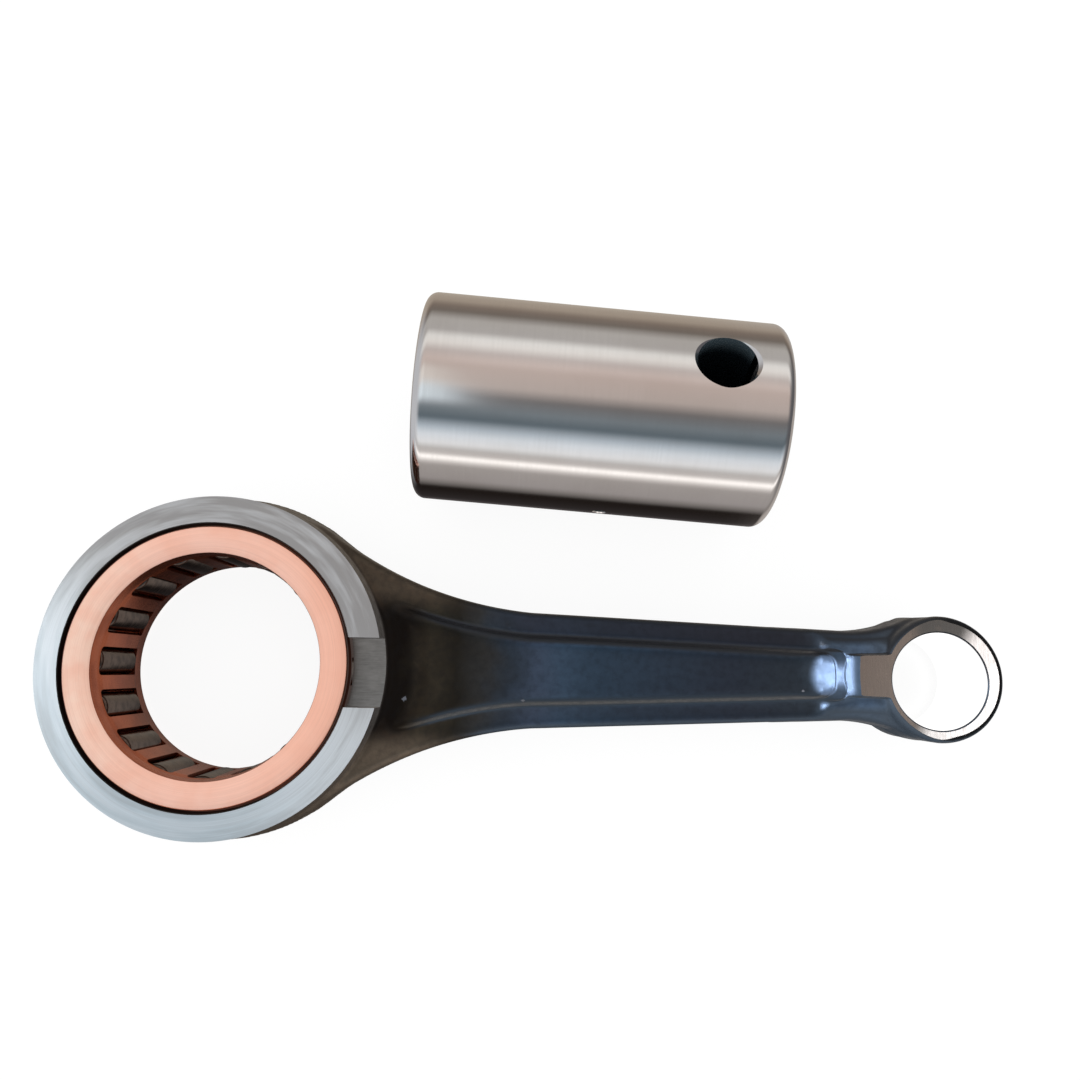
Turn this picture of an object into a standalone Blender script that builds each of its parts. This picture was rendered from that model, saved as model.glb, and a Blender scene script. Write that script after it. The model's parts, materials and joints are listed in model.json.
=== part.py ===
"""A connecting-rod kit for a small single-cylinder engine.

The kit lies on a bench: a forged I-beam rod, the caged needle bearing in its big end,
and the loose crank pin beside it with the plug that closes its oil passage.

World frame: metres, +Z up, the origin at the centre of the kit's footprint on the bench.
+X runs along the rod from the big end to the small end.
"""
import math

import bmesh
import bpy
from mathutils import Matrix, Vector

MM = 0.001

# ---- Driving dimensions ---------------------------------------------------------------
CENTRE_DISTANCE = 104.5 * MM      # big-end bore to small-end bore
BIG_END_CENTRE = Vector((-44.8 * MM, -15.5 * MM, 9.5 * MM))
RUNNING_GAP = 0.35 * MM           # clearance kept between separate pieces

# Big end
BIG_BORE_R = 20.0 * MM
BIG_HALF_WIDTH = 9.5 * MM
BOSS_FACE_R = 23.8 * MM           # machined thrust face
BOSS_FOOT_R = 24.4 * MM           # where the drafted wall meets the flanges
BOSS_MID_R = 25.0 * MM            # parting line of the forging
BOSS_OFFSET = 0.55 * MM           # the boss sits a little towards the shank
BOSS_EDGE = 0.3 * MM              # broken edge of the thrust face
BORE_CHAMFER = 0.8 * MM
OIL_SLOT_WIDTH = 9.7 * MM
OIL_SLOT_DEPTH = 3.5 * MM
OIL_SLOT_Y = -0.5 * MM
OIL_SLOT_X = (18.0 * MM, 27.0 * MM)

# Shank, an I-beam with a pocket in each side
FLANGE_HALF_HEIGHT = 5.5 * MM
WEB_HALF_HEIGHT = 2.0 * MM
SHANK_START_X = 12.5 * MM         # buried in the big end
FLARE_MEETS_BOSS_X = 16.0 * MM    # nearer the bore, the shank stays inside the boss
FLARE_END_X = 50.0 * MM
SHANK_HALF_WIDTH = 8.15 * MM      # at FLARE_END_X, at the flange tops
SHANK_TAPER = 0.0408              # half-width lost for each unit of length
SHANK_DRAFT = 0.2 * MM            # extra half-width at the parting line
SHOULDER_ROUND = 0.8 * MM         # rounding of the flanges' outer edges
FLARE_R = 58.0 * MM               # fillet from the shank into the big end
NECK_FILLET_R = 16.0 * MM         # fillet from the shank into the small end
FLANGE_WIDTH = 3.1 * MM
FLANGE_SPREAD = 1.3 * MM          # the flanges widen by this at the big end,
FLANGE_SPREAD_LENGTH = 9.0 * MM   # and the widening dies away over this length
FORGING_SHIFT = 0.1 * MM          # how far the forging sits off the line of the bores,
FORGING_SKEW = 0.005              # and how much more for each unit of length
POCKET_END_X = 89.3 * MM
POCKET_END_R = 3.2 * MM
POCKET_START_GAP = 0.4 * MM       # from the foot of the big end's wall
POCKET_CORNER_Y = 9.2 * MM
POCKET_CORNER_RUN = 0.9 * MM
# The pocket's wall from its root to above the flanges: (inset from the rim, height).
POCKET_WALL = ((1.1 * MM, WEB_HALF_HEIGHT), (0.6 * MM, WEB_HALF_HEIGHT + 0.4 * MM),
               (0.35 * MM, WEB_HALF_HEIGHT + 1.1 * MM), (-0.35 * MM, BIG_HALF_WIDTH))

# Small end
SMALL_BORE_R = 7.0 * MM
SMALL_HALF_WIDTH = 8.0 * MM
SMALL_OUTER_R = 9.35 * MM
SMALL_OFFSET = 0.2 * MM           # the eye sits a little past its bore
SMALL_EDGE_ROUND = 1.2 * MM
SMALL_CHAMFER = 0.25 * MM
TONGUE_HALF_WIDTH = 3.0 * MM      # machined flat that runs from the small-end face
TONGUE_DROP = 0.03 * MM           # from the small-end face to the tongue
NECK_SHOULDER_Z = 3.6 * MM        # the neck rounds over from here to the tongue
NECK_RAMP = (86.5 * MM, 93.0 * MM)

# Needle bearing
ROLLER_COUNT = 16
ROLLER_R = 2.2 * MM
ROLLER_HALF_LENGTH = 6.0 * MM
ROLLER_EDGE_ROUND = 0.35 * MM
ROLLER_PITCH_R = 17.5 * MM
ROLLER_PHASE = math.radians(-1.25)
CAGE_OUTER_R = BIG_BORE_R - RUNNING_GAP
CAGE_RAIL_INNER_R = 15.75 * MM
CAGE_BAR_INNER_R = 15.45 * MM
CAGE_HALF_WIDTH = 9.2 * MM
CAGE_EDGE_ROUND = 0.4 * MM
WINDOW_HALF_LENGTH = ROLLER_HALF_LENGTH + RUNNING_GAP
WINDOW_HALF_WIDTH = 2.05 * MM
BAR_BAND = (5.6 * MM, 6.4 * MM)   # the raised band of the bars slopes away between these
RAIL_EDGE = 0.25 * MM

# Crank pin
PIN_R = 15.25 * MM
PIN_HALF_LENGTH = 26.1 * MM
PIN_EDGE_ROUND = 1.6 * MM
PIN_REST = Vector((54.3 * MM, 39.1 * MM, PIN_R - BIG_HALF_WIDTH))  # from the big-end centre
PIN_YAW = math.radians(-3.5)
OIL_INLET_R = 4.2 * MM
OIL_INLET_FROM_END = 9.6 * MM
OIL_INLET_TILT = math.radians(18.0)   # from upright, towards +Y
OIL_OUTLET_R = 0.9 * MM
OIL_OUTLET_X = 1.7 * MM
OIL_OUTLET_TILT = math.radians(-90.0)
OIL_PASSAGE_R = 3.5 * MM
OIL_PASSAGE_DEPTH = 29.0 * MM
PLUG_R = OIL_PASSAGE_R - 0.3 * MM
PLUG_EDGE = 0.3 * MM
PLUG_HALF_LENGTH = 2.0 * MM
PLUG_RECESS = 0.6 * MM

PAST = 1.0 * MM                   # how far a cutter runs past the face it opens


# ---- Scene, collections and materials -------------------------------------------------
def clear_scene():
    for obj in list(bpy.data.objects):
        bpy.data.objects.remove(obj, do_unlink=True)


def new_collection(name):
    collection = bpy.data.collections.new(name)
    bpy.context.scene.collection.children.link(collection)
    return collection


def new_material(name, colour, roughness, metallic):
    material = bpy.data.materials.new(name)
    material.use_nodes = True
    shader = material.node_tree.nodes["Principled BSDF"]
    shader.inputs["Base Color"].default_value = (*colour, 1.0)
    shader.inputs["Roughness"].default_value = roughness
    shader.inputs["Metallic"].default_value = metallic
    return material


# ---- Mesh helpers ---------------------------------------------------------------------
def new_object(name, mesh, collection):
    obj = bpy.data.objects.new(name, mesh)
    collection.objects.link(obj)
    return obj


def mesh_from(bm, name):
    bmesh.ops.recalc_face_normals(bm, faces=bm.faces)
    mesh = bpy.data.meshes.new(name)
    bm.to_mesh(mesh)
    bm.free()
    return mesh


def loft_mesh(name, loops):
    """A closed body through loops of equal length, with a flat cap on each end."""
    bm = bmesh.new()
    rings = [[bm.verts.new(point) for point in loop] for loop in loops]
    count = len(rings[0])
    for near, far in zip(rings, rings[1:]):
        for i in range(count):
            j = (i + 1) % count
            bm.faces.new((near[i], near[j], far[j], far[i]))
    bm.faces.new(rings[0][::-1])
    bm.faces.new(rings[-1])
    return mesh_from(bm, name)


def cylinder_mesh(name, radius, half_length, segments):
    bm = bmesh.new()
    bmesh.ops.create_cone(bm, cap_ends=True, segments=segments, radius1=radius,
                          radius2=radius, depth=2 * half_length)
    return mesh_from(bm, name)


def turned_object(name, profile, steps, collection):
    """A profile of (radius, height) points, turned about Z. It runs down the outer side."""
    bm = bmesh.new()
    verts = [bm.verts.new((radius, 0.0, height)) for radius, height in profile]
    closed = profile[0][0] > 0.0
    ends = verts[1:] + verts[:1] if closed else verts[1:]
    for a, b in zip(verts, ends):
        bm.edges.new((a, b))
    mesh = bpy.data.meshes.new(name)
    bm.to_mesh(mesh)
    bm.free()
    obj = new_object(name, mesh, collection)
    screw = obj.modifiers.new("Turn", "SCREW")
    screw.axis = "Z"
    screw.steps = screw.render_steps = steps
    screw.use_merge_vertices = True
    screw.merge_threshold = 0.00005
    screw.use_normal_calculate = False
    return obj


def rounded_corner(radius, height, size, quadrant, steps=3):
    """Points of a rounded corner at (radius, height), from the top or to the bottom."""
    centre_height = height - quadrant * size
    angles = [math.radians(90.0 * i / steps) for i in range(steps + 1)]
    points = [(radius - size + size * math.sin(a), centre_height + quadrant * size * math.cos(a))
              for a in angles]
    return points if quadrant > 0 else points[::-1]


def boolean(obj, other, operation="DIFFERENCE"):
    modifier = obj.modifiers.new(operation.title() + " " + other.name, "BOOLEAN")
    modifier.operation = operation
    modifier.solver = "EXACT"
    modifier.object = other
    return modifier


def as_cutter(obj):
    obj.hide_render = True
    obj.display_type = "WIRE"
    return obj


def bevel(obj, width, segments, angle_degrees=50.0):
    modifier = obj.modifiers.new("Edges", "BEVEL")
    modifier.width = width
    modifier.segments = segments
    modifier.limit_method = "ANGLE"
    modifier.angle_limit = math.radians(angle_degrees)


def finish(obj, material, smooth_degrees=35.0):
    obj.data.materials.append(material)
    obj.data.shade_smooth()
    obj.data.set_sharp_from_angle(angle=math.radians(smooth_degrees))
    return obj


def smoothstep(value, start, end):
    t = min(max((value - start) / (end - start), 0.0), 1.0)
    return t * t * (3.0 - 2.0 * t)


def mix(start, end, share):
    return start + (end - start) * share


def spread(start, end, count):
    """count evenly spaced values from start, without the end."""
    return [mix(start, end, i / count) for i in range(count)]


# ---- Connecting rod -------------------------------------------------------------------
def shank_line(x):
    """Half-width of the straight, tapering part of the shank at the flange tops."""
    return SHANK_HALF_WIDTH - SHANK_TAPER * (x - FLARE_END_X)


def fillet_onto(x, boss_x, boss_r, fillet_r):
    """Half-width given by a fillet that touches both the shank's side and a boss."""
    reach = boss_r + fillet_r
    height = shank_line(0.5 * CENTRE_DISTANCE) + fillet_r
    for _ in range(4):
        run = math.sqrt(reach * reach - height * height)
        centre_x = boss_x + math.copysign(run, 0.5 * CENTRE_DISTANCE - boss_x)
        height = shank_line(centre_x) + fillet_r
    side = x - centre_x
    towards_boss = side * (boss_x - centre_x) > 0.0
    if not towards_boss or abs(side) >= fillet_r:
        return 0.0
    return height - math.sqrt(fillet_r * fillet_r - side * side)


def forging_y(x):
    """How far the forging's centre line is off the line of the bores at x."""
    return FORGING_SHIFT + FORGING_SKEW * x


def rod_half_width(x):
    """Half-width of the shank and its flares at the flange tops."""
    width = max(shank_line(x),
                fillet_onto(x, BOSS_OFFSET, BOSS_MID_R, FLARE_R),
                fillet_onto(x, CENTRE_DISTANCE, SMALL_OUTER_R, NECK_FILLET_R))
    inside_boss = math.sqrt(max(BOSS_FOOT_R ** 2 - (x - BOSS_OFFSET) ** 2, 0.0))
    if x < FLARE_MEETS_BOSS_X:
        width = min(width, inside_boss - 0.4 * MM)
    if x > CENTRE_DISTANCE - 0.5 * SMALL_OUTER_R:
        width = min(width, SMALL_OUTER_R - 0.6 * MM)
    return width


def rod_section(x):
    """The loop of the solid forging at x: flat crest, rounded shoulder, drafted side."""
    ramp = smoothstep(x, *NECK_RAMP)
    width = rod_half_width(x)
    crest = mix(FLANGE_HALF_HEIGHT, SMALL_HALF_WIDTH - TONGUE_DROP, ramp)
    flat = mix(width - SHOULDER_ROUND, TONGUE_HALF_WIDTH, ramp)
    shoulder = mix(crest - SHOULDER_ROUND, NECK_SHOULDER_Z, ramp)
    quarter = []
    for degrees in (0.0, 30.0, 60.0, 90.0):
        turn = math.radians(degrees)
        y = flat + (width - flat) * math.sin(turn)
        z = shoulder + (crest - shoulder) * math.cos(turn)
        quarter.append((y, z))
    half = quarter + [(width + SHANK_DRAFT, 0.0)] + [(y, -z) for y, z in quarter[::-1]]
    loop = half + [(-y, z) for y, z in half[::-1]]
    return [(x, y + forging_y(x), z) for y, z in loop]


def shank_mesh():
    flare_mid_x = mix(SHANK_START_X, FLARE_END_X, 0.35)
    stations = (spread(SHANK_START_X, flare_mid_x, 5) + spread(flare_mid_x, FLARE_END_X, 5)
                + spread(FLARE_END_X, NECK_RAMP[0], 3) + spread(*NECK_RAMP, 4)
                + spread(NECK_RAMP[1], CENTRE_DISTANCE, 5) + [CENTRE_DISTANCE])
    return loft_mesh("shank", [rod_section(x) for x in stations])


def pocket_half_width(x):
    fade = math.exp((BOSS_MID_R - x) / FLANGE_SPREAD_LENGTH)
    return rod_half_width(x) - FLANGE_WIDTH - FLANGE_SPREAD * fade


def pocket_outline(inset, z):
    """The pocket's outline at height z, drawn in by inset from its rim."""
    arc_r = BOSS_FOOT_R + POCKET_START_GAP + inset
    corner = POCKET_CORNER_Y - inset
    left = [(BOSS_OFFSET + math.sqrt(arc_r ** 2 - y ** 2), y)
            for y in (corner * share for share in (-0.92, -0.5, 0.0, 0.5, 0.92))]
    first = left[-1][0] + POCKET_CORNER_RUN
    last = POCKET_END_X - inset - POCKET_END_R
    # Points lie closer together near the big end, where the flanges curve most.
    side = [mix(first, last, share ** 1.6) for share in spread(0.0, 1.0, 9)] + [last]
    upper = [(x, min(pocket_half_width(x) - inset, corner)) for x in side]
    end_half_width = upper[-1][1]
    nose = [(last + POCKET_END_R * math.sin(turn), end_half_width * math.cos(turn))
            for turn in (math.radians(30.0 * step) for step in (1, 2, 3, 4, 5))]
    lower = [(x, -y) for x, y in upper[::-1]]
    return [(x, y + forging_y(x), z) for x, y in left + upper + nose + lower]


def pocket_cutter(name, side, collection):
    """A pocket with drafted walls and a rounded root, on the +Z or the -Z side."""
    loops = [pocket_outline(inset, side * z) for inset, z in POCKET_WALL]
    return as_cutter(new_object(name, loft_mesh(name, loops), collection))


def big_end_profile():
    """Half of the big end's section: thrust face, drafted wall and parting line."""
    top = BIG_HALF_WIDTH
    upper = [(0.0, top), (BOSS_FACE_R - BOSS_EDGE, top), (BOSS_FACE_R, top - BOSS_EDGE),
             (BOSS_FOOT_R, FLANGE_HALF_HEIGHT)]
    return upper + [(BOSS_MID_R, 0.0)] + [(r, -z) for r, z in upper[::-1]]


def small_end_profile():
    top = rounded_corner(SMALL_OUTER_R, SMALL_HALF_WIDTH, SMALL_EDGE_ROUND, 1, 4)
    bottom = rounded_corner(SMALL_OUTER_R, -SMALL_HALF_WIDTH, SMALL_EDGE_ROUND, -1, 4)
    return [(0.0, SMALL_HALF_WIDTH)] + top + bottom + [(0.0, -SMALL_HALF_WIDTH)]


def bore_cutter(name, radius, half_width, chamfer, steps, collection):
    """A through bore that opens by a 45 degree chamfer at each face."""
    upper = [(0.0, half_width + PAST), (radius + chamfer + PAST, half_width + PAST),
             (radius, half_width - chamfer)]
    profile = upper + [(r, -z) for r, z in upper[::-1]]
    return as_cutter(turned_object(name, profile, steps, collection))


def slot_cutter(name, side, collection):
    """The oil slot milled across the thrust face on the shank's side."""
    start, end = OIL_SLOT_X
    bm = bmesh.new()
    bmesh.ops.create_cube(bm, size=1.0)
    bmesh.ops.scale(bm, vec=(end - start, OIL_SLOT_WIDTH, 2.0 * OIL_SLOT_DEPTH), verts=bm.verts)
    cutter = as_cutter(new_object(name, mesh_from(bm, name), collection))
    cutter.location = (mix(start, end, 0.5), OIL_SLOT_Y, side * BIG_HALF_WIDTH)
    return cutter


def build_rod(parts, cutters, frame, material):
    big_boss = as_cutter(turned_object("big_end_boss", big_end_profile(), 72, cutters))
    big_boss.location = (BOSS_OFFSET, FORGING_SHIFT, 0.0)
    small_boss = as_cutter(turned_object("small_end_boss", small_end_profile(), 48, cutters))
    small_boss.location = (CENTRE_DISTANCE + SMALL_OFFSET, forging_y(CENTRE_DISTANCE), 0.0)
    big_bore = bore_cutter("big_end_bore", BIG_BORE_R, BIG_HALF_WIDTH, BORE_CHAMFER, 80, cutters)
    small_bore = bore_cutter("small_end_bore", SMALL_BORE_R, SMALL_HALF_WIDTH, SMALL_CHAMFER,
                             40, cutters)
    small_bore.location.x = CENTRE_DISTANCE
    tools = [big_boss, small_boss, big_bore, small_bore]

    rod = new_object("connecting_rod", shank_mesh(), parts)
    for side, name in ((1, "upper"), (-1, "lower")):
        pocket = pocket_cutter("pocket_" + name, side, cutters)
        boolean(rod, pocket)
        tools.append(pocket)
    boolean(rod, big_boss, "UNION")
    boolean(rod, small_boss, "UNION")
    boolean(rod, big_bore)
    boolean(rod, small_bore)
    for side, name in ((1, "upper"), (-1, "lower")):
        slot = slot_cutter("oil_slot_" + name, side, cutters)
        boolean(rod, slot)
        tools.append(slot)
    for obj in tools + [rod]:
        obj.parent = frame
    return finish(rod, material)


# ---- Needle bearing -------------------------------------------------------------------
def roller_angle(index):
    return ROLLER_PHASE + 2.0 * math.pi * index / ROLLER_COUNT


def window_cutter(name, add_shape, collection):
    """One mesh with the same closed shape at every roller's place."""
    bm = bmesh.new()
    for index in range(ROLLER_COUNT):
        add_shape(bm, Matrix.Rotation(roller_angle(index), 4, "Z"))
    return as_cutter(new_object(name, mesh_from(bm, name), collection))


def add_roller_pocket(bm, turn):
    place = turn @ Matrix.Translation((ROLLER_PITCH_R, 0.0, 0.0))
    radius = ROLLER_R + RUNNING_GAP
    bmesh.ops.create_cone(bm, cap_ends=True, segments=20, radius1=radius, radius2=radius,
                          depth=2 * WINDOW_HALF_LENGTH, matrix=place)


def add_window_slot(bm, turn):
    start, end = CAGE_BAR_INNER_R - PAST, CAGE_OUTER_R + PAST
    size = Matrix.Diagonal((end - start, 2 * WINDOW_HALF_WIDTH, 2 * WINDOW_HALF_LENGTH, 1.0))
    place = turn @ Matrix.Translation((mix(start, end, 0.5), 0.0, 0.0))
    bmesh.ops.create_cube(bm, size=1.0, matrix=place @ size)


def cage_profile():
    """Outer side from top to bottom, then up the inner side over the bars' raised band."""
    top = rounded_corner(CAGE_OUTER_R, CAGE_HALF_WIDTH, CAGE_EDGE_ROUND, 1, 2)
    bottom = rounded_corner(CAGE_OUTER_R, -CAGE_HALF_WIDTH, CAGE_EDGE_ROUND, -1, 2)
    band, rail = BAR_BAND
    inner = [(CAGE_RAIL_INNER_R + RAIL_EDGE, -CAGE_HALF_WIDTH),
             (CAGE_RAIL_INNER_R, -CAGE_HALF_WIDTH + RAIL_EDGE),
             (CAGE_RAIL_INNER_R, -rail), (CAGE_BAR_INNER_R, -band)]
    return top + bottom + inner + [(r, -z) for r, z in inner[::-1]]


def build_cage(parts, cutters, frame, material):
    cage = turned_object("roller_cage", cage_profile(), 96, parts)
    pockets = window_cutter("roller_pockets", add_roller_pocket, cutters)
    slots = window_cutter("window_slots", add_window_slot, cutters)
    boolean(cage, pockets)
    boolean(cage, slots)
    for obj in (cage, pockets, slots):
        obj.parent = frame
    return finish(cage, material)


def build_rollers(parts, frame, material):
    mesh = cylinder_mesh("roller", ROLLER_R, ROLLER_HALF_LENGTH, 20)
    for index in range(ROLLER_COUNT):
        roller = new_object(f"roller_{index + 1:02d}", mesh, parts)
        angle = roller_angle(index)
        roller.location = (ROLLER_PITCH_R * math.cos(angle), ROLLER_PITCH_R * math.sin(angle), 0.0)
        roller.parent = frame
        bevel(roller, ROLLER_EDGE_ROUND, 1)
    finish(parts.objects["roller_01"], material)


# ---- Crank pin ------------------------------------------------------------------------
def pin_swing_centre():
    """Half a turn about an axis through here stands the loose pin up over the big end."""
    rise = PIN_REST.x * math.cos(PIN_YAW) + PIN_REST.y * math.sin(PIN_YAW)
    upright = Vector((0.0, 0.0, PIN_REST.z + rise))
    return (PIN_REST + upright) / 2.0


def radial_cutter(name, radius, along, tilt, frame, collection):
    """A hole from the pin's axis out through its side, tilted from upright about the axis."""
    half = 0.5 * (PIN_R + PAST)
    cutter = new_object(name, cylinder_mesh(name, radius, half, 24), collection)
    spin = Matrix.Rotation(-tilt, 4, "X")
    cutter.matrix_local = Matrix.Translation((along, 0.0, 0.0)) @ spin @ Matrix.Translation(
        (0.0, 0.0, half))
    cutter.parent = frame
    return as_cutter(cutter)


def along_pin(obj, centre, frame):
    """Lays a piece made about Z along the pin's axis."""
    obj.matrix_local = Matrix.Translation((centre, 0.0, 0.0)) @ Matrix.Rotation(
        math.radians(90.0), 4, "Y")
    obj.parent = frame


def build_crank_pin(parts, cutters, frame, pin_material, plug_material):
    pin = new_object("crank_pin", cylinder_mesh("crank_pin", PIN_R, PIN_HALF_LENGTH, 72), parts)
    along_pin(pin, 0.0, frame)
    bevel(pin, PIN_EDGE_ROUND, 3)

    half = 0.5 * (OIL_PASSAGE_DEPTH + PAST)
    passage_mesh = cylinder_mesh("oil_passage", OIL_PASSAGE_R, half, 24)
    passage = as_cutter(new_object("oil_passage", passage_mesh, cutters))
    along_pin(passage, PIN_HALF_LENGTH + PAST - half, frame)
    inlet = radial_cutter("oil_inlet", OIL_INLET_R, PIN_HALF_LENGTH - OIL_INLET_FROM_END,
                          OIL_INLET_TILT, frame, cutters)
    outlet = radial_cutter("oil_outlet", OIL_OUTLET_R, OIL_OUTLET_X, OIL_OUTLET_TILT, frame,
                           cutters)
    for cutter in (passage, inlet, outlet):
        boolean(pin, cutter)
    finish(pin, pin_material)

    plug_mesh = cylinder_mesh("plug", PLUG_R, PLUG_HALF_LENGTH, 24)
    plug = new_object("oil_passage_plug", plug_mesh, parts)
    along_pin(plug, PIN_HALF_LENGTH - PLUG_RECESS - PLUG_HALF_LENGTH, frame)
    bevel(plug, PLUG_EDGE, 1)
    finish(plug, plug_material)


# ---- The kit --------------------------------------------------------------------------
def empty(name, location, parts, parent=None):
    obj = new_object(name, None, parts)
    obj.empty_display_size = 5.0 * MM
    obj.location = location
    obj.parent = parent
    return obj


def main():
    clear_scene()
    parts = new_collection("connecting_rod_kit")
    cutters = new_collection("cutters")
    forged = new_material("black_forged_steel", (0.035, 0.04, 0.05), 0.35, 0.9)
    copper = new_material("copper_plate", (0.85, 0.46, 0.34), 0.35, 1.0)
    needle = new_material("needle_steel", (0.25, 0.24, 0.25), 0.25, 1.0)
    ground = new_material("ground_steel", (0.62, 0.60, 0.58), 0.22, 1.0)
    turned = new_material("plug_steel", (0.45, 0.45, 0.46), 0.35, 1.0)

    big_end = empty("big_end_axis", BIG_END_CENTRE, parts)
    build_rod(parts, cutters, big_end, forged)
    build_cage(parts, cutters, big_end, copper)
    build_rollers(parts, big_end, needle)

    pivot_at = pin_swing_centre()
    pivot = empty("crank_pin_swing_axis", BIG_END_CENTRE + pivot_at, parts)
    pin_frame = empty("crank_pin_centre", PIN_REST - pivot_at, parts, pivot)
    pin_frame.rotation_euler.z = PIN_YAW
    build_crank_pin(parts, cutters, pin_frame, ground, turned)


main()
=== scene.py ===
"""The looks of the connecting-rod kit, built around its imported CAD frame.

Every visible piece is modelled here at a finer grain than the CAD solid it stands for: the
forging with its die-forged fillets, the turned and ground pieces, the bearing cage and its
needles. Lengths inside the modelling functions are in millimetres, in each piece's own axes.
"""

import json
import math

import bmesh
import bpy
import numpy as np
from mathutils import Matrix, Vector

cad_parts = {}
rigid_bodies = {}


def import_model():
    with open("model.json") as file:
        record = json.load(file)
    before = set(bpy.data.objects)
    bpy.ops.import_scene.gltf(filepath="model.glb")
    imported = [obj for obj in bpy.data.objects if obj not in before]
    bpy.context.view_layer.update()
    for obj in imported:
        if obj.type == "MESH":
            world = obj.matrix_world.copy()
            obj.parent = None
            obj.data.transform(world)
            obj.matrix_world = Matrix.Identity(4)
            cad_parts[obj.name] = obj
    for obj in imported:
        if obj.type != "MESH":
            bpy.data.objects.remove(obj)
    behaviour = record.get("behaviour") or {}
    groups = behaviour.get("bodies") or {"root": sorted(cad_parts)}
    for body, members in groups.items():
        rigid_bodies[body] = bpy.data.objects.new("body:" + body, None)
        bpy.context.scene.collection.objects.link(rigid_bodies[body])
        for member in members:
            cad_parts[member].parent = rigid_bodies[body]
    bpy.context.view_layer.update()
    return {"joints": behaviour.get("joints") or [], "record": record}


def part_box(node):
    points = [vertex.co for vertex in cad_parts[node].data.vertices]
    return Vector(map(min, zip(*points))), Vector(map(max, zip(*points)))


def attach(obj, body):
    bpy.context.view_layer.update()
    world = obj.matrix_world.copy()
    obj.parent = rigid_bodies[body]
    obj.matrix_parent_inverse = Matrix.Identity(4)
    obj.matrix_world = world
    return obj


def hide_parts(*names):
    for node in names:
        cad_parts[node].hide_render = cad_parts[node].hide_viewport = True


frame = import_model()

MM = 0.001
JOINTS = {joint["name"]: joint for joint in frame["joints"]}
BIG_END = Vector(JOINTS["cage_spin"]["pos_m"])
UP = Vector((0.0, 0.0, 1.0))


def span_mm(node):
    """A CAD node's size along each axis, in millimetres."""
    low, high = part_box(node)
    return (high - low) / MM


# ---- Dimensions in millimetres, from the big-end centre --------------------------------
ROD_LOW, ROD_HIGH = ((corner - BIG_END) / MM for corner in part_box("connecting_rod"))

THRUST_Z = ROD_HIGH.z              # half the width of the big end
BORE_R = 20.0
BORE_CHAMFER = 0.12
WALL_R = (25.0, 24.1, 23.75)       # drafted wall of the big end at these heights:
WALL_Z = (0.0, 5.5, THRUST_Z)
BOSS_X = 0.55                      # the forged wall sits a little off the bore's axis
SLOT_X = (17.0, 27.0)
SLOT_Y = -0.5
SLOT_HALF_WIDTH = 4.85
SLOT_FLOOR_Z = THRUST_Z - 3.5

FLANGE_Z = 5.5
WEB_Z = 2.0
SHANK_START_X = 12.5               # well inside the big end's bore, which cuts it back
SHANK_HALF_WIDTH = 8.15
SHANK_TAPER = 0.0408
SHANK_DRAFT = 0.2
FLARE_END_X = 50.0
FLARE_R = 58.0
FLARE_INSET = 0.3                  # the flare's side line meets the wall this far inside it
NECK_R = 22.0
BOSS_TUCK = 0.7                    # past a fillet, the side line drops this far into its boss,
BOSS_TUCK_RUN = 4.0                # over this length
FLANGE_WIDTH = 3.1
FLANGE_SPREAD = 1.3
FLANGE_SPREAD_LENGTH = 9.0
FORGING_SHIFT = 0.1
FORGING_SKEW = 0.005
PARTING_RIDGE = 0.1
PARTING_WIDTH = 0.35
POCKET_CORNER_Y = 9.2
POCKET_FROM_WALL = 0.4
POCKET_DRAFT = 0.16
POCKET_END_X = 88.2                # the pocket's far end runs out on a ramp from here:
POCKET_END_Z = 3.3
POCKET_RAMP = 1.06                 # run for each millimetre of rise,
POCKET_CREASES = (5.1, 6.35)       # with a small riser at these heights,
CREASE_RISE = 0.45
CREASE_RUN = 0.4
POCKET_BOW_Z = (3.6, 5.0, 5.7, 6.3, 6.9)         # and bowed at these heights
POCKET_BOW = (0.10, -0.05, -0.04, 0.09, 0.02)

SMALL_X = 104.5
SMALL_EYE_X = 104.9                # the forged eye sits a little off its bore's axis
SMALL_EYE_Y = 0.3
SMALL_OUTER_R = ROD_HIGH.x - SMALL_EYE_X
SMALL_BORE_R = 7.0
SMALL_BORE_CHAMFER = 0.2
SMALL_Z = 8.0
EYE_TUCK = 0.35                    # the eye is drawn in on its side towards the neck
EYE_CHAMFER = (0.1, 1.2)           # its chamfer at the far side, and what the near side adds
STEP_X = 87.2                      # where the neck steps up from the flanges,
STEP_SINK = 0.2                    # starting this far below their tops
NECK_CROWN_Z = 7.2
NECK_CROWN_BEND = 0.13
TONGUE_START_X = 91.0
TONGUE_HALF_WIDTH = 2.9
TONGUE_SPREAD = 0.03

# Rounding where two of the forging's surfaces meet.
FLANGE_ROUND = 1.7
POCKET_CORNER_ROUND = 3.0
RAMP_ROUND = 1.8
ROOT_ROUND = 1.5
POCKET_EDGE_ROUND = 0.9
NECK_ROUND = 3.0
STEP_ROUND = 0.6
NECK_MEETS_SHANK = 0.6
SHANK_MEETS_BOSS = 0.7
EYE_ROUND = 1.7
NECK_MEETS_EYE = 0.5

MACHINING = 0.6                    # what the forging leaves to be faced off the big end,
EYE_MACHINING = 0.3                # the small end,
TONGUE_MACHINING = 0.2             # and its tongue

GRID = 0.34                        # spacing of the forging's mesh,
FINE_X = (STEP_X - 1.5, STEP_X + 11.0)           # halved between the step and the small end
SURFACE_STEPS = 4                  # how often its points are drawn onto the surface


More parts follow.
